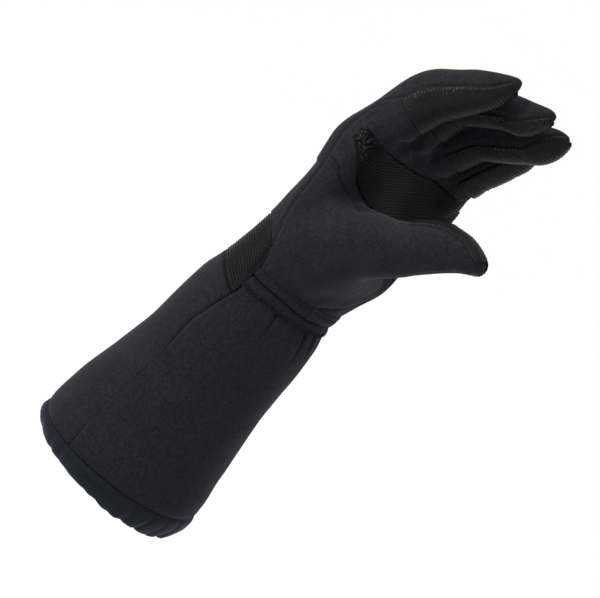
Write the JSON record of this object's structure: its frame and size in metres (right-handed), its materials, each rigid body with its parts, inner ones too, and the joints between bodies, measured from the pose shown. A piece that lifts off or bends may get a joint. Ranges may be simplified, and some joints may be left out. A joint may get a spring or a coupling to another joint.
{
  "type": "racing glove",
  "caption": "Long-gauntlet knitted racing glove for the left hand, held open in the shape it takes when worn, with ribbed grip cloth on palm, thumb and fingers.",
  "frame": {"origin": "centre of the cuff's mouth", "axes": "+Z along the forearm to the fingers, +X the way the palm faces, -Y the thumb side of this left-hand glove"},
  "size_m": [0.1541, 0.1014, 0.2994],
  "materials": {
    "knit": "matte brushed knit, charcoal black",
    "hem_knit": "matte knit binding, blue-black",
    "grip_cloth": "ribbed grip cloth with a slight sheen, brown-black",
    "stretch_cloth": "ribbed elastic mesh with a slight sheen, brown-black"
  },
  "bodies": {
    "root": {"hem_band": "hem_knit", "gauntlet_front": "knit", "gauntlet_back": "knit", "wrist_band": "knit", "wrist_stretch_panel": "stretch_cloth", "hand_back": "knit", "hand_palm": "knit", "thumb": "knit", "index_finger": "knit", "middle_finger": "knit", "ring_finger": "knit", "little_finger": "knit", "palm_grip": "grip_cloth", "thumb_grip": "grip_cloth", "index_grip": "grip_cloth", "middle_grip": "grip_cloth", "ring_grip": "grip_cloth", "little_grip": "grip_cloth"}
  },
  "joints": []
}
